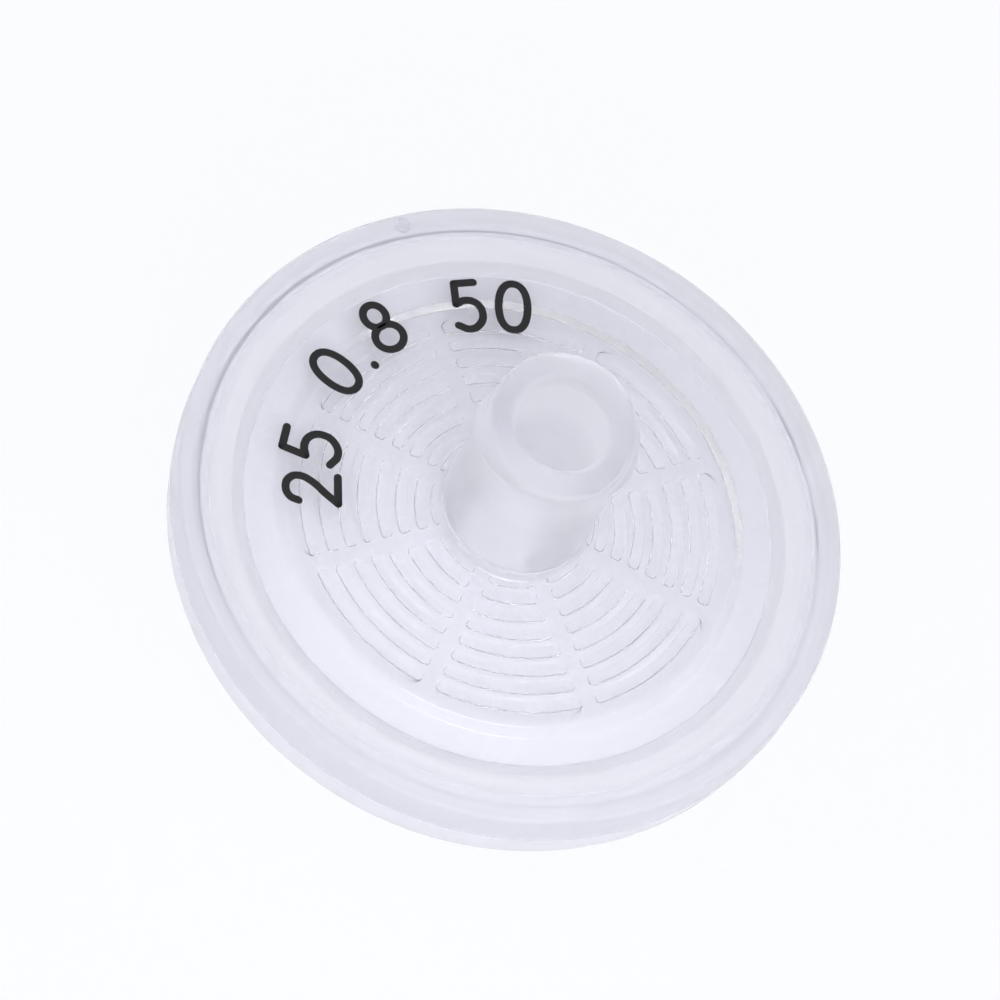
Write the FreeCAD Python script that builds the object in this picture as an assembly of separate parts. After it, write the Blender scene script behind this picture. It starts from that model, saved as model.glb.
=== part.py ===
"""Disc syringe filter: two clear moulded shells welded at the rim, with a filter disc clamped between them.

Frame: millimetres, +Z along the filter's axis towards the syringe. The origin is the centre of the inlet
socket's mouth, so the whole filter lies below it, and +X runs along one radial channel of the flow field.
"""

import FreeCAD
import Part
import math
import os

from FreeCAD import Vector

# Filter disc, the size that the shells are built around
FILTER_RADIUS = 12.25
FILTER_THICKNESS = 0.5
FILTER_CLEARANCE = 0.05       # between the disc's edge and its pocket

# Clamp ridge under the inlet plate, which presses the margin of the filter disc
RIDGE_DEPTH = 0.45            # below the plate's underside
RIDGE_WIDTH = 1.25            # of the flat that presses
RIDGE_FLANK = 0.65            # how far each flank spreads on its way up
RIDGE_CLEARANCE = 0.05        # between the ridge's outer flank and the outlet shell's pocket

# Rim, where the two shells are welded
UPSTAND_THICKNESS = 1.5       # outlet shell's ring round the pocket, at its top
SKIRT_CLEARANCE = 0.03        # radial gap between that ring and the inlet shell's skirt
SKIRT_THICKNESS = 0.97
INLET_DEPTH = 1.95            # inlet shell, top face down to the parting line
OUTLET_RIM_DEPTH = 2.05       # outlet shell's rim, parting line down to its foot
OUTLET_RIM_DRAFT = 0.26       # how far the outlet rim draws in on its way down
RIM_CHAMFER = 0.15            # on the rim's upper edge and inside the foot
FOOT_CHAMFER = 0.4            # on the foot's outer edge

# Plates
INLET_PLATE_THICKNESS = 0.9
OUTLET_PLATE_THICKNESS = 1.0  # under the drain channels
FOOT_WIDTH = 1.1              # ring that stands below the outlet plate

# Flow fields: concentric ribs under the inlet plate, and coarser ones that carry the filter disc
RIB_MARGIN = 0.65             # from the clamp ridge's foot to the outermost rib
RIB_INNER_LIMIT = 3.1         # no rib reaches inside this radius, where the liquid enters and leaves
CHANNEL_COUNT = 8             # radial channels that cut every rib
CHANNEL_WIDTH = 0.70
INLET_RIB_PITCH = 0.888
INLET_RIB_WIDTH = 0.24        # at the crest
INLET_RIB_DRAFT = 0.20        # how much wider each side of a rib is at its root
INLET_RIB_HEIGHT = 0.16       # low waves, clear of the filter disc
DRAIN_RIB_PITCH = 1.2
DRAIN_RIB_WIDTH = 0.55
DRAIN_RIB_DRAFT = 0.04
DRAIN_RIB_HEIGHT = 0.35

# Inlet tube
INLET_HEIGHT = 8.5            # socket mouth above the disc's top face
TUBE_RADIUS = 3.42            # at the mouth, which is also the root of the lugs
TUBE_DRAFT = 0.06             # how much wider the tube is at the disc
TUBE_FILLET = 0.5             # between tube and disc
LIP_ROUND = 0.45              # round on the mouth's outer edge

# Luer fittings
LUER_TAPER = 0.06             # change of diameter for each millimetre of length, shared by every Luer cone
SOCKET_MOUTH_RADIUS = 2.15    # female cone at the mouth
SOCKET_CHAMFER = 0.12         # at the mouth
TIP_RADIUS = 1.98             # male cone at its end
TIP_LENGTH = 8.5
TIP_CHAMFER = 0.2             # on the male cone's end
TIP_BORE_RADIUS = 0.95        # passage through the outlet
HUB_RADIUS = 3.1
HUB_HEIGHT = 1.6              # from the outlet plate down to the shoulder of the cone
HUB_FILLET = 0.6

# Lugs for a lock collar: a double-start thread cut short
LUG_COUNT = 2
LUG_HEIGHT = 0.495            # crest above the tube
LUG_ROOT_MARGIN = 0.05        # how much deeper than the lip's round each lug is rooted
LUG_LEAD = 5.0                # advance of each start in one turn
LUG_WRAP = 140.0              # degrees from where a lug leaves the mouth to where its lower end runs out
LUG_CREST = 0.75              # width of the crest along the axis
LUG_CROWN = 0.10              # how far the crest's middle stands above its edges
LUG_FLANK = 30.0              # degrees between a flank and the radial direction
LUG_AZIMUTH = 136.0           # where the first lug's crest leaves the mouth's face, degrees
LUG_LEAD_IN = 0.3             # how far inside the lugs' radius their 45 degree lead-in starts

# Gate mark on the disc's top face, where the shell was filled
GATE_RADIUS = 0.38
GATE_HEIGHT = 0.12
GATE_SETBACK = 0.6            # from the rim to the mark's centre
GATE_AZIMUTH = -46.0          # degrees

# Levels, all measured from the mouth
MOUTH = 0.0
DISC_TOP = MOUTH - INLET_HEIGHT
PLATE_UNDERSIDE = DISC_TOP - INLET_PLATE_THICKNESS
PARTING = DISC_TOP - INLET_DEPTH
FILTER_TOP = PLATE_UNDERSIDE - RIDGE_DEPTH
FILTER_BOTTOM = FILTER_TOP - FILTER_THICKNESS
DRAIN_FLOOR = FILTER_BOTTOM - DRAIN_RIB_HEIGHT
OUTLET_UNDERSIDE = DRAIN_FLOOR - OUTLET_PLATE_THICKNESS
FOOT = PARTING - OUTLET_RIM_DEPTH
SHOULDER = OUTLET_UNDERSIDE - HUB_HEIGHT
TIP_END = SHOULDER - TIP_LENGTH

# Radii, from the filter disc outwards
POCKET_RADIUS = FILTER_RADIUS + FILTER_CLEARANCE
RIDGE_OUTER = POCKET_RADIUS
RIDGE_OUTER_ROOT = RIDGE_OUTER + RIDGE_FLANK
RIDGE_INNER = RIDGE_OUTER - RIDGE_WIDTH
RIDGE_INNER_ROOT = RIDGE_INNER - RIDGE_FLANK
RIB_OUTER_RADIUS = RIDGE_INNER_ROOT - RIB_MARGIN
UPSTAND_RADIUS = RIDGE_OUTER_ROOT + RIDGE_CLEARANCE + UPSTAND_THICKNESS
SKIRT_INNER = UPSTAND_RADIUS + SKIRT_CLEARANCE
RIM_RADIUS = SKIRT_INNER + SKIRT_THICKNESS
TUBE_BASE_RADIUS = TUBE_RADIUS + TUBE_DRAFT
LUG_RADIUS = TUBE_RADIUS + LUG_HEIGHT

AXIS_DIRECTION = Vector(0, 0, 1)
ORIGIN = Vector(0, 0, 0)


def luer_radius(mouth_radius, distance):
    """Radius of a Luer cone at a distance from its wide or narrow end."""
    return mouth_radius + distance * LUER_TAPER / 2


def revolve(outline):
    """Solid of revolution about Z from (radius, height) corners in order round the section."""
    points = [Vector(radius, 0, height) for radius, height in outline]
    section = Part.Face(Part.makePolygon(points + points[:1]))
    return section.revolve(ORIGIN, AXIS_DIRECTION, 360)


def circle_edges(shape, radius, height):
    """The full-circle edges of a shape at one radius and height."""
    found = []
    for edge in shape.Edges:
        curve = edge.Curve
        if not isinstance(curve, Part.Circle):
            continue
        level = abs(curve.Center.z - height)
        if level < 1e-4 and abs(curve.Radius - radius) < 1e-4:
            found.append(edge)
    return found


def rounded(shape, size, radius, height):
    """The shape with its circular edge at the given place filleted."""
    return shape.makeFillet(size, circle_edges(shape, radius, height))


def rib_rings(root, crest, pitch, width, draft):
    """Drafted concentric ribs from the root level to the crest level, as many as the field has room for."""
    reach = 0.1 if root > crest else -0.1
    room = RIB_OUTER_RADIUS - width - RIB_INNER_LIMIT
    rings = []
    for index in range(1 + int(room / pitch)):
        outside = RIB_OUTER_RADIUS - index * pitch
        inside = outside - width
        section = [
            (inside, crest),
            (outside, crest),
            (outside + draft, root),
            (outside + draft, root + reach),
            (inside - draft, root + reach),
            (inside - draft, root),
        ]
        rings.append(revolve(section))
    return Part.makeCompound(rings)


def channel_bars(low, high):
    """Radial bars, one for each channel, that cut the ribs between two levels."""
    length = RIB_OUTER_RADIUS + CHANNEL_WIDTH
    bars = []
    for index in range(CHANNEL_COUNT):
        corner = Vector(0, -CHANNEL_WIDTH / 2, low)
        bar = Part.makeBox(length, CHANNEL_WIDTH, high - low, corner)
        bar.rotate(ORIGIN, AXIS_DIRECTION, index * 360 / CHANNEL_COUNT)
        bars.append(bar)
    return bars[0].fuse(bars[1:])


def flow_field(root, crest, pitch, width, draft):
    """The ribs of one shell, parted by its radial channels."""
    rings = rib_rings(root, crest, pitch, width, draft)
    low = min(root, crest) - 1
    high = max(root, crest) + 1
    return rings.cut(channel_bars(low, high))


def lug(azimuth):
    """One lug, whose crest leaves the mouth's face at the azimuth, winds down and runs out on a flat."""
    buried = TUBE_RADIUS - LIP_ROUND - LUG_ROOT_MARGIN
    edge = LUG_RADIUS - LUG_CROWN
    flank_rise = (edge - buried) * math.tan(math.radians(LUG_FLANK))
    upper_edge = Vector(edge, 0, LUG_CREST)
    lower_edge = Vector(edge, 0, 0)
    flanks = [
        lower_edge,
        Vector(buried, 0, -flank_rise),
        Vector(buried, 0, LUG_CREST + flank_rise),
        upper_edge,
    ]
    crest = Part.Arc(upper_edge, Vector(LUG_RADIUS, 0, LUG_CREST / 2), lower_edge)
    profile = Part.Wire(Part.makePolygon(flanks).Edges + [crest.toShape()])
    drop = LUG_LEAD * LUG_WRAP / 360
    path = Part.makeHelix(LUG_LEAD, drop + flank_rise, LUG_RADIUS)
    body = Part.Wire(path.Edges).makePipeShell([profile], True, True)
    corner = Vector(TUBE_RADIUS, -LUG_RADIUS, -LUG_LEAD)
    body = body.cut(Part.makeBox(LUG_LEAD, 2 * LUG_RADIUS, 2 * LUG_LEAD, corner))
    body.rotate(ORIGIN, AXIS_DIRECTION, azimuth - LUG_WRAP)
    body.translate(Vector(0, 0, MOUTH - drop))
    return body.common(lead_in())


def lead_in():
    """The space the lugs may fill: under the mouth's face and inside the cone of their lead-in."""
    narrow = LUG_RADIUS - LUG_LEAD_IN
    wide = LUG_RADIUS + LUG_LEAD_IN
    cone_foot = MOUTH - 2 * LUG_LEAD_IN
    return revolve([(0, MOUTH), (narrow, MOUTH), (wide, cone_foot), (wide, DISC_TOP), (0, DISC_TOP)])


def inlet_housing():
    """Top shell: disc with skirt, clamp ridge and ribs underneath, and the female Luer tube."""
    body = revolve([
        (0, MOUTH),
        (TUBE_RADIUS, MOUTH),
        (TUBE_BASE_RADIUS, DISC_TOP),
        (RIM_RADIUS - RIM_CHAMFER, DISC_TOP),
        (RIM_RADIUS, DISC_TOP - RIM_CHAMFER),
        (RIM_RADIUS, PARTING),
        (SKIRT_INNER, PARTING),
        (SKIRT_INNER, PLATE_UNDERSIDE),
        (RIDGE_OUTER_ROOT, PLATE_UNDERSIDE),
        (RIDGE_OUTER, FILTER_TOP),
        (RIDGE_INNER, FILTER_TOP),
        (RIDGE_INNER_ROOT, PLATE_UNDERSIDE),
        (0, PLATE_UNDERSIDE),
    ])
    body = rounded(body, TUBE_FILLET, TUBE_BASE_RADIUS, DISC_TOP)
    body = rounded(body, LIP_ROUND, TUBE_RADIUS, MOUTH)
    lugs = [lug(LUG_AZIMUTH + index * 360 / LUG_COUNT) for index in range(LUG_COUNT)]
    body = body.fuse(lugs)
    rib_crest = PLATE_UNDERSIDE - INLET_RIB_HEIGHT
    ribs = flow_field(PLATE_UNDERSIDE, rib_crest, INLET_RIB_PITCH, INLET_RIB_WIDTH, INLET_RIB_DRAFT)
    body = body.fuse(ribs)
    body = body.fuse(gate_mark())
    socket_depth = MOUTH - PLATE_UNDERSIDE
    chamfer_radius = SOCKET_MOUTH_RADIUS + SOCKET_CHAMFER
    socket = revolve([
        (0, MOUTH),
        (chamfer_radius, MOUTH),
        (luer_radius(SOCKET_MOUTH_RADIUS, -SOCKET_CHAMFER), MOUTH - SOCKET_CHAMFER),
        (luer_radius(SOCKET_MOUTH_RADIUS, -socket_depth), PLATE_UNDERSIDE),
        (0, PLATE_UNDERSIDE),
    ])
    return body.cut(socket)


def gate_mark():
    """The low stub that is left where the gate was cut off."""
    foot = Vector(RIM_RADIUS - GATE_SETBACK, 0, DISC_TOP - GATE_HEIGHT)
    stub = Part.makeCylinder(GATE_RADIUS, 2 * GATE_HEIGHT, foot)
    stub.rotate(ORIGIN, AXIS_DIRECTION, GATE_AZIMUTH)
    return stub


def filter_disc():
    """Round of glass fibre, clamped at its margin."""
    return Part.makeCylinder(FILTER_RADIUS, FILTER_THICKNESS, Vector(0, 0, FILTER_BOTTOM))


def outlet_housing():
    """Bottom shell: upstand inside the skirt, pocket for the filter disc, drain field and male Luer tip."""
    foot_radius = RIM_RADIUS - OUTLET_RIM_DRAFT
    foot_inner = foot_radius - FOOT_WIDTH
    pocket_top = RIDGE_OUTER_ROOT + RIDGE_CLEARANCE
    body = revolve([
        (0, DRAIN_FLOOR),
        (RIDGE_INNER, DRAIN_FLOOR),
        (RIDGE_INNER, FILTER_BOTTOM),
        (POCKET_RADIUS, FILTER_BOTTOM),
        (POCKET_RADIUS, FILTER_TOP),
        (pocket_top - RIDGE_FLANK, FILTER_TOP),
        (pocket_top, PLATE_UNDERSIDE),
        (UPSTAND_RADIUS, PLATE_UNDERSIDE),
        (UPSTAND_RADIUS, PARTING),
        (RIM_RADIUS, PARTING),
        (foot_radius, FOOT + FOOT_CHAMFER),
        (foot_radius - FOOT_CHAMFER, FOOT),
        (foot_inner + RIM_CHAMFER, FOOT),
        (foot_inner, FOOT + RIM_CHAMFER),
        (foot_inner, OUTLET_UNDERSIDE),
        (HUB_RADIUS, OUTLET_UNDERSIDE),
        (HUB_RADIUS, SHOULDER),
        (luer_radius(TIP_RADIUS, TIP_LENGTH), SHOULDER),
        (TIP_RADIUS, TIP_END + TIP_CHAMFER),
        (TIP_RADIUS - TIP_CHAMFER, TIP_END),
        (0, TIP_END),
    ])
    body = rounded(body, HUB_FILLET, HUB_RADIUS, OUTLET_UNDERSIDE)
    ribs = flow_field(DRAIN_FLOOR, FILTER_BOTTOM, DRAIN_RIB_PITCH, DRAIN_RIB_WIDTH, DRAIN_RIB_DRAFT)
    body = body.fuse(ribs)
    passage_length = DRAIN_FLOOR - TIP_END
    passage = Part.makeCylinder(TIP_BORE_RADIUS, passage_length, Vector(0, 0, TIP_END))
    return body.cut(passage)


def write(name, shape):
    """Export one node, checked to be a single sound solid."""
    solid = shape.removeSplitter()
    if len(solid.Solids) != 1 or not solid.isValid():
        raise ValueError(f"{name} is not one valid solid")
    solid.Solids[0].exportStep(f"parts/{name}.step")
    print(f"{name}: {solid.Volume:.1f} mm3, {len(solid.Faces)} faces")


os.makedirs("parts", exist_ok=True)
write("inlet_housing", inlet_housing())
write("filter_disc", filter_disc())
write("outlet_housing", outlet_housing())
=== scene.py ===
# %% [markdown]
# # A disc syringe filter
#
# Two clear moulded shells are welded together at the rim and hold a white glass-fibre disc between them. A
# syringe locks onto the threaded tube on top, and the liquid leaves through a tapered tip underneath.
#
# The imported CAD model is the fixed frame. It says where each piece is and how large it is. Every piece below
# takes its place from the boxes of the CAD nodes, so nothing has to be fitted by eye.

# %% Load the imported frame
import math

import bmesh
import bpy
from mathutils import Matrix, Vector, noise


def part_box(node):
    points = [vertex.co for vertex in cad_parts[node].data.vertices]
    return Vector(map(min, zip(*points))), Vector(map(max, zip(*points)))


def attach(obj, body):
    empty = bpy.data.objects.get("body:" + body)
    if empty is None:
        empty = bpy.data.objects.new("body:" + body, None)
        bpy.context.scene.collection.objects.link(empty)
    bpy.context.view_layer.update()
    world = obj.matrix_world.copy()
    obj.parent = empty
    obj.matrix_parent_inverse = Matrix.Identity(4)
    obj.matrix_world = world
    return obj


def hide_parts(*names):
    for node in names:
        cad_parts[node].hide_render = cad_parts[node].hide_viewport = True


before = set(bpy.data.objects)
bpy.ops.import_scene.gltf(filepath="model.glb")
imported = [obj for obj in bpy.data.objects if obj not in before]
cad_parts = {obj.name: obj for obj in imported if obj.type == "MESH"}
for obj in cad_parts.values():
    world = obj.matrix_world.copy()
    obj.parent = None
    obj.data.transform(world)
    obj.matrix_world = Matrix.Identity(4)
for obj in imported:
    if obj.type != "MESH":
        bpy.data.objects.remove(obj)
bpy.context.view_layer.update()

# %% [markdown]
# ## Sizes
#
# Moulds are drawn in millimetres, and Blender's unit here is the metre. Every shape is drawn in millimetres and
# scaled once, when it becomes an object. That keeps the numbers readable and makes the merge distances of the
# mesh operators safe. The levels come from the CAD boxes, and only the sizes that a box can't tell are written
# down, next to the piece that they belong to.

# %% Levels and radii from the CAD boxes
MM = 0.001
PLATE_THICKNESS = 0.9
SEAT_GAP = 0.02
WELD_OVERLAP = 0.02


def box_in_mm(node):
    """Lowest and highest corner of a CAD node, in millimetres."""
    low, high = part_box(node)
    return low / MM, high / MM


inlet_low, inlet_high = box_in_mm("inlet_housing")
outlet_low, outlet_high = box_in_mm("outlet_housing")
filter_low, filter_high = box_in_mm("filter_disc")

RIM = inlet_high.x
PARTING = inlet_low.z
PLATE_UNDERSIDE = outlet_high.z
DISC_TOP = PLATE_UNDERSIDE + PLATE_THICKNESS
FILTER_TOP = filter_high.z
FILTER_BOTTOM = filter_low.z
FILTER_RADIUS = filter_high.x
TIP_END = outlet_low.z
print("rim", round(RIM, 2), "disc top", round(DISC_TOP, 2), "parting", round(PARTING, 2), "tip", round(TIP_END, 2))

# %% [markdown]
# ## Turning a shape
#
# Almost everything on a filter is round, because the mould's inserts are turned on a lathe. Blender's spin does
# the same: an outline of radius and height is swept a full turn about Z. A moulded edge is never knife sharp, and
# on clear plastic its small round is what catches the light, so each corner of the outline has its own round,
# made by a vertex bevel before the spin.
#
# 256 steps put the chords of the widest circle 0.001 mm inside the true one. They also divide by eight, which the
# eight radial channels of the flow field need.

# %% A lathe for outlines
TURN_STEPS = 256
CORNER_SEGMENTS = 3


def lathe(outline):
    """Spins (radius, height, round) corners a full turn about Z and returns the bmesh, in mm."""
    shape = bmesh.new()
    corners = [shape.verts.new((radius, 0, height)) for radius, height, _ in outline]
    for start, end in zip(corners, corners[1:] + corners[:1]):
        shape.edges.new((start, end))
    for corner, (_, _, size) in zip(corners, outline):
        if size:
            bmesh.ops.bevel(shape, geom=[corner], offset=size, offset_type="OFFSET", affect="VERTICES",
                            segments=CORNER_SEGMENTS, profile=0.5, material=-1)
    bmesh.ops.spin(shape, geom=shape.verts[:] + shape.edges[:], cent=(0, 0, 0), axis=(0, 0, 1),
                   angle=2 * math.pi, steps=TURN_STEPS, use_merge=True, use_duplicate=False)
    bmesh.ops.remove_doubles(shape, verts=shape.verts[:], dist=1e-5)
    bmesh.ops.recalc_face_normals(shape, faces=shape.faces[:])
    return shape


def azimuth_of(point):
    """Angle of a point about Z, in radians from 0 to a full turn."""
    return math.atan2(point.y, point.x) % (2 * math.pi)


def radius_of(point):
    return math.hypot(point.x, point.y)


def put(vertex, azimuth, radius, height):
    """Moves a vertex to a place given round the axis."""
    vertex.co = (radius * math.cos(azimuth), radius * math.sin(azimuth), height)


print("one turn is", TURN_STEPS, "steps of", round(2 * math.pi * RIM / TURN_STEPS, 2), "mm at the rim")

# %% [markdown]
# A finished shape becomes an object that rides on the only CAD body. Its faces are shaded smooth, apart from
# edges sharper than 40 degrees. The object stays at the origin, so a material that reads Object coordinates
# sees the CAD frame.

# %% From a shape in mm to a piece of the model
def make_piece(name, shape, material, sharp_degrees=40):
    """Scales a bmesh to metres and adds it to the scene as a smooth-shaded piece."""
    bmesh.ops.scale(shape, vec=(MM, MM, MM), verts=shape.verts[:])
    mesh = bpy.data.meshes.new(name)
    shape.to_mesh(mesh)
    shape.free()
    mesh.shade_smooth()
    mesh.set_sharp_from_angle(angle=math.radians(sharp_degrees))
    mesh.materials.append(material)
    piece = bpy.data.objects.new(name, mesh)
    bpy.context.scene.collection.objects.link(piece)
    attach(piece, "root")
    triangles = sum(len(face.vertices) - 2 for face in mesh.polygons)
    print(name, "has", triangles, "triangles")
    return piece


# %% [markdown]
# ## Materials
#
# Colours are written as they look on screen, in sRGB hex, and one function turns them to the linear values that
# the shader needs. One more adds a node with its settings and its links.

# %% Colour and node helpers
def colour(hex_code):
    """Opaque linear RGBA from an sRGB hex code."""
    channels = [int(hex_code[i:i + 2], 16) / 255 for i in (1, 3, 5)]
    linear = [c / 12.92 if c <= 0.04045 else ((c + 0.055) / 1.055) ** 2.4 for c in channels]
    return (*linear, 1.0)


def add_node(tree, kind, links=None, **settings):
    """Adds a node. Settings that name an input socket go to it, and the rest are the node's own properties."""
    node = tree.nodes.new(kind)
    for key, value in settings.items():
        if hasattr(node, key):
            setattr(node, key, value)
        else:
            node.inputs[key.replace("_", " ")].default_value = value
    for socket, source in (links or {}).items():
        tree.links.new(source, node.inputs[socket])
    return node


def new_tree(owner):
    """The emptied node tree of a material or a world."""
    owner.use_nodes = True
    owner.node_tree.nodes.clear()
    return owner.node_tree


def noise_bump(tree, size_mm, detail, strength, depth_mm):
    """A noise of bumps that are size_mm wide, as a bump node and the noise itself."""
    place = add_node(tree, "ShaderNodeTexCoord")
    grain = add_node(tree, "ShaderNodeTexNoise", {"Vector": place.outputs["Object"]},
                     Scale=1 / (size_mm * MM), Detail=detail)
    bump = add_node(tree, "ShaderNodeBump", {"Height": grain.outputs["Fac"]}, Strength=strength,
                    Distance=depth_mm * MM)
    return bump, grain


print("white is", [round(c, 3) for c in colour("#FFFFFF")])

# %% [markdown]
# ### Moulded plastic
#
# Both shells are a clear moulding grade for luer parts, which refracts at about 1.5. It is never as clean as
# glass: the melt leaves a ripple a few millimetres long, and the surface is a little soft, which blurs what is
# seen through two or three walls. The inlet shell is the clearer one, but not evenly so. Haze adds up with the
# depth of plastic that light passes, so `haze_map` keeps the thin plate clear and gives the tube and the rim
# more. A volume takes a little light in deep places, which greys the tube's wall. The outlet shell is a milkier
# grade throughout, and that makes the rim a pale plain band and hides the foot ring behind it.

# %% Clear and milky plastic
RIPPLE = 3.0
HAZE_STARTS = 13.5
HAZE_IS_FULL = 15.0
HAZE_STOPS = {"foot": (0.1, 0.5), "head": 0.75}


def haze_map(tree, plate, foot, head, rim):
    """Share of haze: one in the plate, one at the tube's foot, one at its head and one at the rim."""
    place = add_node(tree, "ShaderNodeTexCoord")
    axes = add_node(tree, "ShaderNodeSeparateXYZ", {"Vector": place.outputs["Object"]})
    height = add_node(tree, "ShaderNodeMapRange", {"Value": axes.outputs["Z"]}, From_Min=DISC_TOP * MM, From_Max=0)
    along_tube = add_node(tree, "ShaderNodeValToRGB", {"Fac": height.outputs["Result"]})
    along_tube.color_ramp.elements[0].color = (plate, plate, plate, 1)
    along_tube.color_ramp.elements[1].color = (head, head, head, 1)
    foot_from, foot_to = HAZE_STOPS["foot"]
    for position, share in ((foot_from, foot), (foot_to, foot), (HAZE_STOPS["head"], head)):
        along_tube.color_ramp.elements.new(position).color = (share, share, share, 1)
    flat = add_node(tree, "ShaderNodeVectorMath", {0: place.outputs["Object"]}, operation="MULTIPLY")
    flat.inputs[1].default_value = (1, 1, 0)
    radius = add_node(tree, "ShaderNodeVectorMath", {0: flat.outputs["Vector"]}, operation="LENGTH")
    outwards = add_node(tree, "ShaderNodeMapRange", {"Value": radius.outputs["Value"]},
                        From_Min=HAZE_STARTS * MM, From_Max=HAZE_IS_FULL * MM, To_Max=rim)
    return add_node(tree, "ShaderNodeMath", {0: outwards.outputs["Result"], 1: along_tube.outputs["Color"]},
                    operation="MAXIMUM")


def moulded_plastic(name, clearness, roughness, haze_shares, depth_tint):
    """Plastic that passes light, scatters some of it onwards, and takes a tint where it is deep."""
    material = bpy.data.materials.new(name)
    tree = new_tree(material)
    bump, _ = noise_bump(tree, RIPPLE, 2.0, 0.05, 0.1)
    skin = add_node(tree, "ShaderNodeBsdfPrincipled", {"Normal": bump.outputs["Normal"]},
                    Base_Color=colour("#FDFDFF"), Transmission_Weight=clearness, Roughness=roughness, IOR=1.5)
    cloud = add_node(tree, "ShaderNodeBsdfTranslucent", Color=colour("#FCFCFF"))
    haze = haze_map(tree, *haze_shares)
    mixed = add_node(tree, "ShaderNodeMixShader",
                     {0: haze.outputs["Value"], 1: skin.outputs["BSDF"], 2: cloud.outputs["BSDF"]})
    depth = add_node(tree, "ShaderNodeVolumeAbsorption", Color=colour("#BBBBC4"), Density=depth_tint)
    add_node(tree, "ShaderNodeOutputMaterial",
             {"Surface": mixed.outputs["Shader"], "Volume": depth.outputs["Volume"]})
    return material


clear_plastic = moulded_plastic("clear MBS, injection moulded", clearness=0.96, roughness=0.10,
                                haze_shares=(0.06, 0.30, 0.36, 0.50), depth_tint=26.0)
milky_plastic = moulded_plastic("milky MBS, injection moulded", clearness=0.90, roughness=0.35,
                                haze_shares=(0.60, 0.60, 0.60, 0.60), depth_tint=2.0)
print("plastics:", clear_plastic.name, "and", milky_plastic.name)

# %% [markdown]
# ### Glass-fibre felt and ink
#
# The filter is pressed from fibres far thinner than a hair. At this distance they only show as a soft mottle, so
# a fine noise moves the colour by a few levels and raises a shallow bump. The ink is a matt black, printed with a
# soft pad, and its film is uneven at the scale of a tenth of a millimetre.

# %% Felt and ink
def fibre_felt(name):
    """Pressed glass fibre: white, matt and faintly mottled."""
    material = bpy.data.materials.new(name)
    tree = new_tree(material)
    bump, fibres = noise_bump(tree, 0.25, 4.0, 0.4, 0.05)
    mottle = add_node(tree, "ShaderNodeValToRGB", {"Fac": fibres.outputs["Fac"]})
    mottle.color_ramp.elements[0].color = colour("#E6E6EC")
    mottle.color_ramp.elements[1].color = colour("#F3F3F7")
    shader = add_node(tree, "ShaderNodeBsdfPrincipled",
                      {"Normal": bump.outputs["Normal"], "Base Color": mottle.outputs["Color"]},
                      Roughness=0.9, IOR=1.5)
    add_node(tree, "ShaderNodeOutputMaterial", {"Surface": shader.outputs["BSDF"]})
    return material


def grained_paint(name, tint, roughness, grain_mm):
    """An opaque film with a fine uneven surface."""
    material = bpy.data.materials.new(name)
    tree = new_tree(material)
    bump, _ = noise_bump(tree, grain_mm, 2.0, 0.3, 0.02)
    shader = add_node(tree, "ShaderNodeBsdfPrincipled", {"Normal": bump.outputs["Normal"]},
                      Base_Color=colour(tint), Roughness=roughness, IOR=1.5)
    add_node(tree, "ShaderNodeOutputMaterial", {"Surface": shader.outputs["BSDF"]})
    return material


glass_fibre = fibre_felt("glass-fibre felt, pressed")
ink = grained_paint("black pad-printing ink", "#0C0C0F", 0.45, 0.12)
# The seam's grey is painted shade: it stands for the dark line where the two shells meet.
seam_shade_paint = grained_paint("grey paint for the shade at the seam", "#BABAC4", 0.35, 0.4)
print("opaque:", glass_fibre.name, "and", ink.name, "and", seam_shade_paint.name)

# %% [markdown]
# ## Flow field
#
# Each shell carries concentric ribs that keep the filter off the plate, and eight radial channels cut through
# them so that the liquid spreads. The ribs could be separate rings sunk into the plate, but light would then
# bend at faces that the real moulding hasn't got. So the ribs are part of the outline that is spun, and the
# channels are pressed into the same closed skin afterwards.

# %% Ribs in an outline
RIB_FIELD = 9.75
INLET_RIBS = {"pitch": 0.888, "width": 0.43, "draft": 0.08, "soft": 0.03, "count": 8}
DRAIN_RIBS = {"pitch": 1.2, "width": 0.55, "draft": 0.04, "soft": 0.10, "count": 6}
INLET_RIB_HEIGHT = 0.07
DRAIN_RIB_HEIGHT = 0.35


def rib_corners(ribs, root, crest):
    """Corners of the ribs from the outermost to the innermost."""
    corners = []
    for index in range(ribs["count"]):
        outside = RIB_FIELD - index * ribs["pitch"]
        inside = outside - ribs["width"]
        corners.append((outside + ribs["draft"], root, ribs["soft"]))
        corners.append((outside, crest, ribs["soft"]))
        corners.append((inside, crest, ribs["soft"]))
        corners.append((inside - ribs["draft"], root, ribs["soft"]))
    return corners


print("inlet ribs every", INLET_RIBS["pitch"], "mm, drain ribs every", DRAIN_RIBS["pitch"], "mm")

# %% [markdown]
# A channel is a straight strip of constant width, so its steps stand closer together in angle at a large radius.
# `channel_step` turns a step of the lathe into an azimuth and a share of the rib's height. The share climbs along
# a quarter of a circle just outside the channel, which gives each rib the round end that a ball-nosed cutter
# leaves in the mould.

# %% Radial channels
SECTORS = 8
SECTOR_STEPS = TURN_STEPS // SECTORS
CHANNEL_HALF = 0.35
RIB_END = 0.28
CHANNEL_STEPS = 2
END_STEPS = 5
END_NARROWS_TO = 0.4
LEVEL_SLACK = 1e-3


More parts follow.
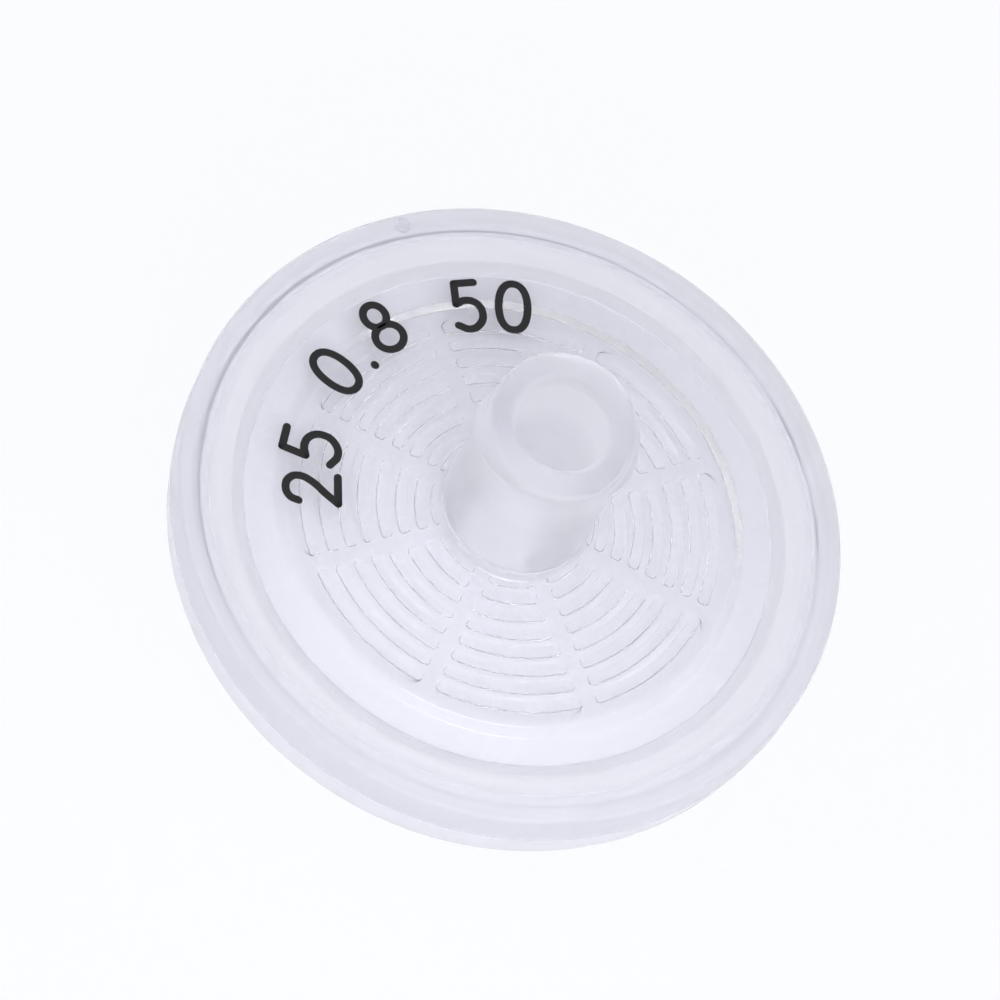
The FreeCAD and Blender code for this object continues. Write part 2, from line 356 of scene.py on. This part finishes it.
def channel_step(step, radius):
    """Azimuth within a sector, and the share of the rib that stands there, for one step of the lathe."""
    sector = 2 * math.pi / SECTORS
    if step > SECTOR_STEPS / 2:
        azimuth, share = channel_step(SECTOR_STEPS - step, radius)
        return sector - azimuth, share
    if step <= CHANNEL_STEPS:
        return math.asin(CHANNEL_HALF / radius) * step / CHANNEL_STEPS, 0
    solid_from = CHANNEL_STEPS + END_STEPS
    if step <= solid_from:
        turn = (step - CHANNEL_STEPS) / END_STEPS * math.pi / 2
        reach = CHANNEL_HALF + RIB_END * (1 - math.cos(turn))
        return math.asin(reach / radius), math.sin(turn)
    start = math.asin((CHANNEL_HALF + RIB_END) / radius)
    along = (step - solid_from) / (SECTOR_STEPS / 2 - solid_from)
    return start + along * (sector / 2 - start), 1


def press_channels(shape, ribs, root, crest):
    """Presses the radial channels into the ribs."""
    low, high = sorted((root, crest))
    pitch = ribs["pitch"]
    outermost = RIB_FIELD - ribs["width"] / 2
    pressed = 0
    for vertex in shape.verts:
        radius = radius_of(vertex.co)
        rib = round((outermost - radius) / pitch)
        middle = outermost - rib * pitch
        on_rib = 0 <= rib < ribs["count"] and abs(radius - middle) < pitch / 2
        if not on_rib or not low - LEVEL_SLACK < vertex.co.z < high + LEVEL_SLACK:
            continue
        turn = round(azimuth_of(vertex.co) / (2 * math.pi) * TURN_STEPS) % TURN_STEPS
        sector, step = divmod(turn, SECTOR_STEPS)
        azimuth, share = channel_step(step, radius)
        height = root + (vertex.co.z - root) * share
        narrowed = middle + (radius - middle) * (END_NARROWS_TO + (1 - END_NARROWS_TO) * share)
        put(vertex, azimuth + sector * 2 * math.pi / SECTORS, narrowed, height)
        pressed += share < 1
    bmesh.ops.recalc_face_normals(shape, faces=shape.faces[:])
    print("pressed", pressed, "vertices down for", SECTORS, "channels")


# %% [markdown]
# ## Inlet shell
#
# The outline runs up the socket, over the mouth, down the tube, across the disc and down the skirt, then back
# under the plate along the clamp ridge and the ribs. The tube's outside gets closely spaced rows, because the
# lugs are raised there in the next step.

# %% Outline of the inlet shell
SOCKET_MOUTH = 2.15
SOCKET_TAPER = 0.03
MOUTH_ROUND = 0.25
TUBE = 3.42
TUBE_BASE = 3.48
SKIRT_INNER = 14.53
RIDGE_OUTER = 12.30
RIDGE_INNER = 11.05
RIDGE_FLANK = 0.65
LIP_ROUND = 0.45
LUG_DEPTH = 2.6
LIP_ROWS = 10
LUG_ROWS = 50

socket_foot = SOCKET_MOUTH + SOCKET_TAPER * PLATE_UNDERSIDE
lip_depths = [LIP_ROUND * (1 - math.cos(math.pi / 2 * row / LIP_ROWS)) for row in range(LIP_ROWS + 1)]
lug_depths = [LIP_ROUND + (LUG_DEPTH - LIP_ROUND) * (row + 1) / LUG_ROWS for row in range(LUG_ROWS)]

inlet_outline = [
    (socket_foot, PLATE_UNDERSIDE, 0.1),
    (SOCKET_MOUTH - SOCKET_TAPER * MOUTH_ROUND, -MOUTH_ROUND, 0.15),
    (SOCKET_MOUTH + MOUTH_ROUND, 0, 0.15),
]
inlet_outline += [(TUBE, -depth, 0) for depth in lip_depths + lug_depths]
inlet_outline += [
    (TUBE_BASE, DISC_TOP, 0.7),
    (RIM, DISC_TOP, 0.18),
    (RIM, PARTING, 0.04),
    (SKIRT_INNER, PARTING, 0.04),
    (SKIRT_INNER, PLATE_UNDERSIDE, 0.1),
    (RIDGE_OUTER + RIDGE_FLANK, PLATE_UNDERSIDE, 0),
    (RIDGE_OUTER, FILTER_TOP, 0.1),
    (RIDGE_INNER, FILTER_TOP, 0.15),
    (RIDGE_INNER - RIDGE_FLANK, PLATE_UNDERSIDE, 0.2),
]
inlet_ribs = (INLET_RIBS, PLATE_UNDERSIDE, PLATE_UNDERSIDE - INLET_RIB_HEIGHT)
inlet_outline += rib_corners(*inlet_ribs)
inlet_shape = lathe(inlet_outline)
print("spun the inlet shell:", len(inlet_shape.faces), "faces")
press_channels(inlet_shape, *inlet_ribs)

# %% [markdown]
# ### Mouth and lugs
#
# The lock collar of a syringe grips two lugs, which are short lengths of a double-start thread. Each leaves the
# mouth's face, winds down to the right and runs out. Modelled as separate bodies they would again add false
# faces inside the plastic, so `tube_wall` gives the radius of the tube's outside at each azimuth and depth, and
# the rows of the outline move there. Lip, crest and flanks blend with wide rounds: seen through the mouth, the
# head of the tube is one smooth ring with two soft swells.

# %% Lugs
LUG_TOP = TUBE + 0.495
LUG_LEAD = 5.0
LUG_WRAP = math.radians(140)
LUG_CREST = 0.75
LUG_LEAVES = math.radians(136)
LUG_NOSE = 0.6
LUG_CROWN = 0.55
FLANK_SLOPE = 1 / math.tan(math.radians(30))
FOOT_BLEND = 0.5
NOSE_BLEND = 0.4
RUN_OUT_TURN = 0.5
RUN_OUT_BEND = 1.2


def quarter_round(depth, size):
    """How far a round of the given size has still to swell at a depth below its top."""
    left = max(0, size - depth)
    return size - math.sqrt(size * size - left * left)


def blend(first, second, width):
    """The larger of two radii, with a soft change from one to the other."""
    overlap = max(0, width - abs(first - second)) / width
    return max(first, second) + overlap * overlap * width / 4


def lug_crest(back, depth):
    """Radius of one lug at an angle back from where it leaves the mouth."""
    below = depth - back * LUG_LEAD / (2 * math.pi) + LUG_CREST / 2
    radius = LUG_TOP - FLANK_SLOPE * (math.hypot(below, LUG_CROWN) - LUG_CROWN)
    run_out = max(0, back - LUG_WRAP + RUN_OUT_TURN)
    return radius - RUN_OUT_BEND * run_out * run_out


def tube_wall(azimuth, depth):
    """Radius of the tube's outside at a depth below the mouth."""
    wall = TUBE - quarter_round(depth, LIP_ROUND)
    for start in (0, math.pi):
        back = (LUG_LEAVES + start - azimuth + math.pi / 2) % (2 * math.pi) - math.pi / 2
        nose = LUG_TOP - quarter_round(depth, LUG_NOSE)
        crest = -blend(-lug_crest(back, depth), -nose, NOSE_BLEND)
        wall = blend(wall, crest, FOOT_BLEND)
    return wall


moved = 0
for vertex in inlet_shape.verts:
    if abs(radius_of(vertex.co) - TUBE) < 1e-3 and vertex.co.z > -LUG_DEPTH - 0.01:
        azimuth = azimuth_of(vertex.co)
        put(vertex, azimuth, tube_wall(azimuth, -vertex.co.z), vertex.co.z)
        moved += 1
bmesh.ops.recalc_face_normals(inlet_shape, faces=inlet_shape.faces[:])
print("shaped the lip and two lugs with", moved, "vertices")

# %% [markdown]
# ### Gate
#
# The shell was filled through a gate at the rim, and the runner was snapped off. That leaves a low round stub
# with a torn top, which is the one spot that breaks the smooth rim.

# %% Gate stub
GATE_PLACE = (14.9, math.radians(-46))
GATE_RADIUS = 0.38
GATE_HEIGHT = 0.12

gate_outline = [
    (0, -0.05, 0),
    (GATE_RADIUS, -0.05, 0),
    (GATE_RADIUS, GATE_HEIGHT, 0.03),
    (0.24, GATE_HEIGHT, 0.02),
    (0.18, 0.04, 0.02),
    (0, 0.05, 0),
]


def gate_stub():
    """The stub, torn by noise, at its place on the disc."""
    stub = lathe(gate_outline)
    for vertex in stub.verts:
        if vertex.co.z > GATE_HEIGHT / 2:
            vertex.co.z -= 0.08 * abs(noise.noise(vertex.co * 6))
    radius, azimuth = GATE_PLACE
    place = Matrix.Translation((radius * math.cos(azimuth), radius * math.sin(azimuth), DISC_TOP))
    bmesh.ops.transform(stub, matrix=place, verts=stub.verts[:])
    return stub


inlet = make_piece("inlet_shell", inlet_shape, clear_plastic)
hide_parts("inlet_housing")
make_piece("gate_stub", gate_stub(), clear_plastic)

# %% [markdown]
# ## Outlet shell
#
# The lower shell has an upstand that goes up inside the skirt, a pocket for the filter, a coarser field of ribs
# that carries it, a foot ring and the male tip with its hub. Where it lies flat against another piece it stays
# 0.02 mm clear, because two faces in one place flicker. Where it is welded, on the skirt's inside and on the
# slope of the clamp ridge, it reaches 0.02 mm into the inlet shell. An air gap there would reflect all the light
# that comes at a slant, and the joint would look like a dark ring.

# %% Outlet shell
UPSTAND = SKIRT_INNER + WELD_OVERLAP
POCKET = 12.30
POCKET_TOP = 12.89
FOOT_INNER = 14.14
FOOT_OUTER = 15.24
HUB = 3.1
TIP = 1.98
TIP_LENGTH = 8.5
TIP_BORE = 0.95
DRAIN_FLOOR = FILTER_BOTTOM - DRAIN_RIB_HEIGHT
OUTLET_UNDERSIDE = DRAIN_FLOOR - 1.0
FOOT = PARTING - 2.05
SHOULDER = TIP_END + TIP_LENGTH

drain_ribs = (DRAIN_RIBS, DRAIN_FLOOR, FILTER_BOTTOM - SEAT_GAP)
outlet_outline = [
    (TIP_BORE, DRAIN_FLOOR, 0.1),
    (TIP_BORE, TIP_END, 0.05),
    (TIP, TIP_END, 0.2),
    (TIP + SOCKET_TAPER * TIP_LENGTH, SHOULDER, 0.1),
    (HUB, SHOULDER, 0.2),
    (HUB, OUTLET_UNDERSIDE, 0.6),
    (FOOT_INNER, OUTLET_UNDERSIDE, 0.2),
    (FOOT_INNER, FOOT, 0.2),
    (FOOT_OUTER, FOOT, 0.5),
    (RIM, PARTING - SEAT_GAP, 0.06),
    (UPSTAND, PARTING - SEAT_GAP, 0.05),
    (UPSTAND, PLATE_UNDERSIDE - SEAT_GAP, 0.12),
    (POCKET_TOP, PLATE_UNDERSIDE - SEAT_GAP, 0),
    (POCKET, FILTER_TOP + WELD_OVERLAP, 0.05),
    (POCKET, FILTER_BOTTOM - SEAT_GAP, 0.05),
    (RIDGE_INNER, FILTER_BOTTOM - SEAT_GAP, 0.05),
    (RIDGE_INNER, DRAIN_FLOOR, 0.1),
]
outlet_outline += rib_corners(*drain_ribs)
outlet_shape = lathe(outlet_outline)
press_channels(outlet_shape, *drain_ribs)
outlet = make_piece("outlet_shell", outlet_shape, milky_plastic)
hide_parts("outlet_housing")

# %% [markdown]
# ### Painted shade at the seam
#
# Where the upstand meets the skirt, the seam shows as a dark line round the disc. That line is painted shade: a
# thin flat grey ring at the corner between upstand and skirt stands in for it. It is heavier on one side, flutters
# and wanders a little, and widens over two short lengths, each given in degrees by its middle and its reach.

# %% Painted seam shade
SEAM_SHADE_RADIUS = 14.46
SEAM_SHADE_TOP = PLATE_UNDERSIDE + 0.10
SEAM_SHADE_THICKNESS = 0.04
SEAM_SHADE_HEAVY = Vector((1.0, -0.1, 0)).normalized()
SEAM_SHADE_WIDENINGS = [(227, 7), (207.5, 5)]
SEAM_SHADE_THIN = 0.04
SEAM_SHADE_SWELL = 0.15
SEAM_SHADE_FLUTTER = 0.7
WIDENING_WIDTH = 0.10


def seam_shade_width(azimuth):
    """Width of the painted seam shade at an azimuth: a slow swell times a quick flutter."""
    circle = Vector((math.cos(azimuth), math.sin(azimuth), 0))
    swell = max(0, circle.dot(SEAM_SHADE_HEAVY)) ** 2
    flutter = noise.noise(circle * 14)
    width = SEAM_SHADE_THIN + SEAM_SHADE_SWELL * swell * (1 + SEAM_SHADE_FLUTTER * flutter)
    for middle, reach in SEAM_SHADE_WIDENINGS:
        width += WIDENING_WIDTH * max(0, 1 - abs(math.degrees(azimuth) - middle) / reach)
    return width


def painted_seam_shade():
    """A flat grey ring of painted shade whose width follows seam_shade_width."""
    shade_ring = lathe([(1, 0, 0), (1, -SEAM_SHADE_THICKNESS, 0), (2, -SEAM_SHADE_THICKNESS, 0), (2, 0, 0)])
    for vertex in shade_ring.verts:
        azimuth = azimuth_of(vertex.co)
        side = radius_of(vertex.co) - 1.5
        wander = 0.03 * noise.noise(Vector((math.cos(azimuth), math.sin(azimuth), 1)) * 4)
        put(vertex, azimuth, SEAM_SHADE_RADIUS + wander + side * seam_shade_width(azimuth), SEAM_SHADE_TOP + vertex.co.z)
    return shade_ring


# This grey ring paints the shade of the seam.
make_piece("painted_seam_shade", painted_seam_shade(), seam_shade_paint)

# %% [markdown]
# ## Filter disc
#
# A plain round of felt. Its edge is cut by a die, so only a small round softens it.

# %% Filter disc
felt_outline = [
    (0, FILTER_BOTTOM, 0),
    (FILTER_RADIUS, FILTER_BOTTOM, 0.05),
    (FILTER_RADIUS, FILTER_TOP - SEAT_GAP, 0.05),
    (0, FILTER_TOP - SEAT_GAP, 0),
]
felt = make_piece("felt_disc", lathe(felt_outline), glass_fibre)
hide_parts("filter_disc")

# %% [markdown]
# ## Printed numbers
#
# Three plain numbers are printed on the disc. They only stand where such a filter names its kind, and say nothing
# about this one. Each digit is a few strokes of a round pen. A stroke is a Bezier curve with a round section,
# which becomes a mesh, gets round ends and is pressed flat to the thickness of the ink before it is turned to
# its place.

# %% Digits
STROKE = 0.38
GLYPH_MIDDLE = 0.30
INK_THICKNESS = 0.05
INK_GAP = 0.002
GLYPHS = {
    "0": [("ring", 0.30, 0.50, 0.27, 0.47)],
    "8": [("ring", 0.30, 0.74, 0.21, 0.23), ("ring", 0.30, 0.27, 0.27, 0.25)],
    "2": [
        ("line", (0.05, 0.74), (0.12, 0.90), (0.30, 0.97), (0.48, 0.89), (0.53, 0.72), (0.45, 0.52), (0.22, 0.25)),
        ("line", (0.22, 0.25), (0.05, 0.04)),
        ("line", (0.05, 0.04), (0.56, 0.04)),
    ],
    "5": [
        ("line", (0.50, 0.96), (0.13, 0.96)),
        ("line", (0.13, 0.96), (0.09, 0.55)),
        ("line", (0.09, 0.55), (0.28, 0.61), (0.47, 0.54), (0.55, 0.33), (0.46, 0.12), (0.26, 0.03), (0.05, 0.12)),
    ],
    ".": [("line", (0.30, 0.05), (0.30, 0.07))],
}


def stroke_curve(strokes, cap):
    """A curve of round strokes that stands on the origin, one cap height tall."""
    curve = bpy.data.curves.new("digit", "CURVE")
    curve.dimensions = "3D"
    curve.bevel_depth = STROKE / 2
    curve.bevel_resolution = 3
    curve.resolution_u = 8
    for stroke in strokes:
        points = stroke[1:]
        if stroke[0] == "ring":
            x, y, wide, tall = points
            points = [(x + wide, y), (x, y + tall), (x - wide, y), (x, y - tall)]
        spline = curve.splines.new("BEZIER")
        spline.bezier_points.add(len(points) - 1)
        spline.use_cyclic_u = stroke[0] == "ring"
        for knot, (x, y) in zip(spline.bezier_points, points):
            knot.co = ((x - GLYPH_MIDDLE) * cap, y * cap, 0)
            knot.handle_left_type = "AUTO"
            knot.handle_right_type = "AUTO"
    return curve


def digit_mesh(glyph, cap):
    """The strokes of one digit as a mesh with round ends."""
    curve = stroke_curve(GLYPHS[glyph], cap)
    holder = bpy.data.objects.new("digit", curve)
    bpy.context.scene.collection.objects.link(holder)
    digit = bmesh.new()
    digit.from_mesh(bpy.data.meshes.new_from_object(holder))
    for spline in curve.splines:
        if spline.use_cyclic_u:
            continue
        for knot in (spline.bezier_points[0], spline.bezier_points[-1]):
            bmesh.ops.create_uvsphere(digit, u_segments=16, v_segments=8, radius=STROKE / 2,
                                      matrix=Matrix.Translation(knot.co))
    bpy.data.objects.remove(holder)
    return digit


print("digits drawn:", " ".join(GLYPHS))

# %% [markdown]
# The digits stand on circles about the axis with their feet towards it, so each is turned by its own azimuth.
# The table gives each digit's azimuth and the radii of its foot and its head.

# %% Print on the disc
PRINT = [
    ("2", 24.4, 8.10, 10.70),
    ("5", 11.4, 8.30, 11.05),
    ("0", -12.0, 8.95, 11.50),
    (".", -21.5, 9.05, 11.60),
    ("8", -30.6, 9.25, 11.80),
    ("5", -54.6, 9.10, 11.65),
    ("0", -66.6, 9.10, 11.65),
]

digits = bmesh.new()
for glyph, azimuth, foot, head in PRINT:
    digit = digit_mesh(glyph, head - foot)
    bmesh.ops.scale(digit, vec=(1, 1, INK_THICKNESS / STROKE), verts=digit.verts[:])
    turn = Matrix.Rotation(math.radians(azimuth - 90), 4, "Z")
    lift = Matrix.Translation((0, foot, DISC_TOP + INK_THICKNESS / 2 + INK_GAP))
    bmesh.ops.transform(digit, matrix=turn @ lift, verts=digit.verts[:])
    placed = bpy.data.meshes.new("digit")
    digit.to_mesh(placed)
    digit.free()
    digits.from_mesh(placed)
make_piece("printed_numbers", digits, ink)

# %% [markdown]
# ## Studio
#
# ### Floor
#
# The filter hangs just over a white paper sweep. To the camera, and to light that comes through the plastic or
# off it, most of the paper glows at a fixed white. The rest is plain matt paper, which takes the object's soft
# shadow.

# %% Paper floor
FLOOR_SIZE = 3.0
FLOOR_GAP = 0.1
GLOW_SHARE = 0.93


def background_share(tree, share):
    """A value of share for rays from the camera, reflections and refractions, and 0 for all others."""
    path = add_node(tree, "ShaderNodeLightPath")
    mirrored = add_node(tree, "ShaderNodeMath",
                        {0: path.outputs["Is Camera Ray"], 1: path.outputs["Is Glossy Ray"]}, operation="MAXIMUM")
    clear = add_node(tree, "ShaderNodeMath",
                     {0: mirrored.outputs[0], 1: path.outputs["Is Transmission Ray"]}, operation="MAXIMUM")
    scaled = add_node(tree, "ShaderNodeMath", {0: clear.outputs[0]}, operation="MULTIPLY")
    scaled.inputs[1].default_value = share
    return scaled


floor_shape = bmesh.new()
bmesh.ops.create_grid(floor_shape, x_segments=1, y_segments=1, size=FLOOR_SIZE,
                      matrix=Matrix.Translation((0, 0, (TIP_END - FLOOR_GAP) * MM)))
floor_mesh = bpy.data.meshes.new("floor")
floor_shape.to_mesh(floor_mesh)
floor_shape.free()
floor = bpy.data.objects.new("floor", floor_mesh)
bpy.context.scene.collection.objects.link(floor)

paper = bpy.data.materials.new("white paper sweep")
tree = new_tree(paper)
seen = background_share(tree, GLOW_SHARE)
glow = add_node(tree, "ShaderNodeEmission", Color=colour("#FCFDFF"), Strength=1.0)
matt = add_node(tree, "ShaderNodeBsdfDiffuse", Color=colour("#F4F4F8"))
mixed = add_node(tree, "ShaderNodeMixShader", {0: seen.outputs[0], 1: matt.outputs[0], 2: glow.outputs[0]})
add_node(tree, "ShaderNodeOutputMaterial", {"Surface": mixed.outputs[0]})
floor_mesh.materials.append(paper)
print("the paper lies", FLOOR_GAP, "mm below the tip")

# %% [markdown]
# ### World
#
# A soft tent of light. It dims smoothly towards one side, about 30 degrees up and behind the disc as the camera
# sees it, so the flanks that mirror that side read darker, which is what draws the ridge and the ribs in clear
# plastic. The cool tint is the slight lavender of the tent's cloth.

# %% World
TENT_BRIGHT = 1.11
TENT_DIM = 0.65
DIM_EDGE = 0.2
DIM_CORE = 0.95
DIM_SIDE = Vector((-0.05, -0.85, 0.52)).normalized()

world = bpy.data.worlds.new("studio")
bpy.context.scene.world = world
tree = new_tree(world)
place = add_node(tree, "ShaderNodeTexCoord")
towards_dark = add_node(tree, "ShaderNodeVectorMath", {0: place.outputs["Generated"]}, operation="DOT_PRODUCT")
towards_dark.inputs[1].default_value = DIM_SIDE
level = add_node(tree, "ShaderNodeMapRange", {"Value": towards_dark.outputs["Value"]},
                 From_Min=DIM_EDGE, From_Max=DIM_CORE, To_Min=TENT_BRIGHT, To_Max=TENT_DIM)
level.interpolation_type = "SMOOTHSTEP"
tent = add_node(tree, "ShaderNodeBackground", {"Strength": level.outputs["Result"]}, Color=colour("#FCFCFF"))
add_node(tree, "ShaderNodeOutputWorld", {"Surface": tent.outputs[0]})
print("world:", world.name)

# %% [markdown]
# ### Lamp
#
# One wide, low softbox in front of the disc, which is the side that is nearer to the camera. It lifts that side
# and puts thin highlights on the tube and the rim.

# %% Softbox
LAMP_WIDTH = 0.06
LAMP_HEIGHT = 0.02
LAMP_PLACE = Vector((-0.020, 0.058, 0.035))
LAMP_WATTS = 0.018

disc_centre = Vector((0, 0, DISC_TOP * MM))
softbox = bpy.data.lights.new("softbox", "AREA")
softbox.shape = "RECTANGLE"
softbox.size = LAMP_WIDTH
softbox.size_y = LAMP_HEIGHT
softbox.energy = LAMP_WATTS
lamp = bpy.data.objects.new("softbox", softbox)
bpy.context.scene.collection.objects.link(lamp)
lamp.location = LAMP_PLACE
lamp.rotation_mode = "QUATERNION"
lamp.rotation_quaternion = (LAMP_PLACE - disc_centre).to_track_quat("Z", "Y")
lamp.visible_camera = False
print("softbox", round(1000 * (LAMP_PLACE - disc_centre).length), "mm from the disc")

# %% [markdown]
# ### Camera
#
# The camera looks down at the disc, 30 degrees off its axis, from 300 mm. Its own right and back directions are
# given in the CAD frame. The lens makes the 31 mm disc fill about 70 percent of the frame's width.

# %% Camera
CAMERA_DISTANCE = 300
LENS = 238.85
AIM_RIGHT = -0.645
AIM_UP = 0.399

right = Vector((-0.8890, -0.3796, 0.2561)).normalized()
back = Vector((0.0319, 0.5063, 0.8617)).normalized()
up = back.cross(right).normalized()
right = up.cross(back).normalized()
lens = bpy.data.cameras.new("camera")
lens.lens = LENS
lens.sensor_width = 36
lens.clip_start = 0.01
lens.clip_end = 10
camera = bpy.data.objects.new("camera", lens)
bpy.context.scene.collection.objects.link(camera)
camera.location = disc_centre + (AIM_RIGHT * right + AIM_UP * up + CAMERA_DISTANCE * back) * MM
camera.rotation_mode = "QUATERNION"
camera.rotation_quaternion = Matrix((right, up, back)).transposed().to_quaternion()
bpy.context.scene.camera = camera
print("camera", round(math.degrees(math.acos(back.z)), 1), "degrees off the axis")

# %% [markdown]
# ## Finish
#
# Light that reaches the felt has gone through several curved walls, so the paths are long and their sharpness
# isn't blurred away.

# %% Render settings
bpy.context.scene.view_settings.view_transform = "Standard"
cycles = bpy.context.scene.cycles
cycles.blur_glossy = 0.0
cycles.max_bounces = 32
cycles.transmission_bounces = 32
cycles.glossy_bounces = 16
cycles.diffuse_bounces = 6
